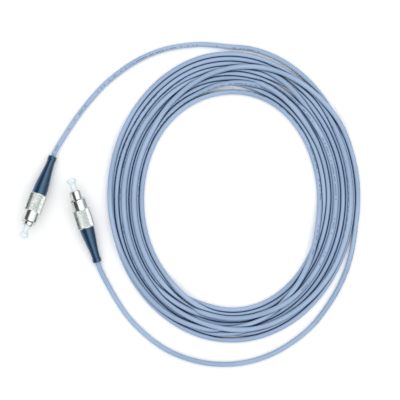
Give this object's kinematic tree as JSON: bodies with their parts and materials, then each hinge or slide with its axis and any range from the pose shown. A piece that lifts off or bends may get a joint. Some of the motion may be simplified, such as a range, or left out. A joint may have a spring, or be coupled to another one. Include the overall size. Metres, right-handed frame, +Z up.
{
  "type": "fiber optic patch cord",
  "caption": "Coiled simplex fiber optic patch cord with a knurled screw connector, bend-relief boot and dust cap on each end.",
  "frame": {"origin": "on the surface that the cord lies on, under the middle of the two connectors", "axes": "+Z up from that surface; +Y roughly along the two connectors, from the end where connector A's cap points to the end where connector B's cap points; +X from the connectors towards the coil"},
  "size_m": [0.2041, 0.1954, 0.0148],
  "materials": {
    "jacket": "matt extruded PVC jacket, blue grey",
    "boot_rubber": "smooth satin blue-black moulded boot",
    "bright_nickel": "bright nickel plate, fine diamond knurl on the nut",
    "cap_plastic": "soft translucent moulded cap, pale cyan",
    "zirconia": "polished white zirconia ceramic",
    "hub_brass": "turned brass",
    "spring_steel": "spring steel",
    "sleeve_copper": "nickel-plated annealed crimp metal",
    "buffer_plastic": "white tight buffer",
    "aramid": "loose golden aramid fibre"
  },
  "bodies": {
    "root": {"cable_tail_a": "jacket", "cable_coil": "jacket", "cable_tail_b": "jacket", "boot_a": "boot_rubber", "jacket_end_a": "jacket", "jacket_crimp_ring_a": "sleeve_copper", "rear_body_a": "bright_nickel", "aramid_yarn_a": "aramid", "crimp_sleeve_a": "sleeve_copper", "plug_frame_a": "bright_nickel", "spring_a": "spring_steel", "boot_b": "boot_rubber", "jacket_end_b": "jacket", "jacket_crimp_ring_b": "sleeve_copper", "rear_body_b": "bright_nickel", "aramid_yarn_b": "aramid", "crimp_sleeve_b": "sleeve_copper", "plug_frame_b": "bright_nickel", "spring_b": "spring_steel"},
    "nut_ring_a": {"nut_retaining_ring_a": "spring_steel"},
    "nut_a": {"coupling_nut_a": "bright_nickel"},
    "ferrule_assembly_a": {"ferrule_a": "zirconia", "ferrule_hub_a": "hub_brass", "buffered_fiber_a": "buffer_plastic"},
    "cap_a": {"dust_cap_a": "cap_plastic"},
    "nut_ring_b": {"nut_retaining_ring_b": "spring_steel"},
    "nut_b": {"coupling_nut_b": "bright_nickel"},
    "ferrule_assembly_b": {"ferrule_b": "zirconia", "ferrule_hub_b": "hub_brass", "buffered_fiber_b": "buffer_plastic"},
    "cap_b": {"dust_cap_b": "cap_plastic"}
  },
  "joints": [
    {"name": "nut_slide_a", "type": "slide", "parent": "root", "child": "nut_ring_a", "axis": [-0.3206, -0.9312, 0.1736], "range_m": [-0.0032, 0]},
    {"name": "nut_spin_a", "type": "hinge", "parent": "nut_ring_a", "child": "nut_a", "pos_m": [-0.01274, 0.00797, 0.00707], "axis": [-0.3206, -0.9312, 0.1736], "continuous": true},
    {"name": "ferrule_slide_a", "type": "slide", "parent": "root", "child": "ferrule_assembly_a", "axis": [-0.3206, -0.9312, 0.1736], "range_m": [-0.001, 0], "stiffness_N_per_m": 2000, "deforming": ["spring_a"]},
    {"name": "cap_slide_a", "type": "slide", "parent": "ferrule_assembly_a", "child": "cap_a", "axis": [-0.3206, -0.9312, 0.1736], "range_m": [0, 0.012]},
    {"name": "nut_slide_b", "type": "slide", "parent": "root", "child": "nut_ring_b", "axis": [-0.2994, 0.9439, 0.1392], "range_m": [0, 0.0032]},
    {"name": "nut_spin_b", "type": "hinge", "parent": "nut_ring_b", "child": "nut_b", "pos_m": [0.0158, -0.01162, 0.00582], "axis": [-0.2994, 0.9439, 0.1392], "continuous": true},
    {"name": "ferrule_slide_b", "type": "slide", "parent": "root", "child": "ferrule_assembly_b", "axis": [-0.2994, 0.9439, 0.1392], "range_m": [-0.001, 0], "stiffness_N_per_m": 2000, "deforming": ["spring_b"]},
    {"name": "cap_slide_b", "type": "slide", "parent": "ferrule_assembly_b", "child": "cap_b", "axis": [-0.2994, 0.9439, 0.1392], "range_m": [0, 0.012]}
  ]
}
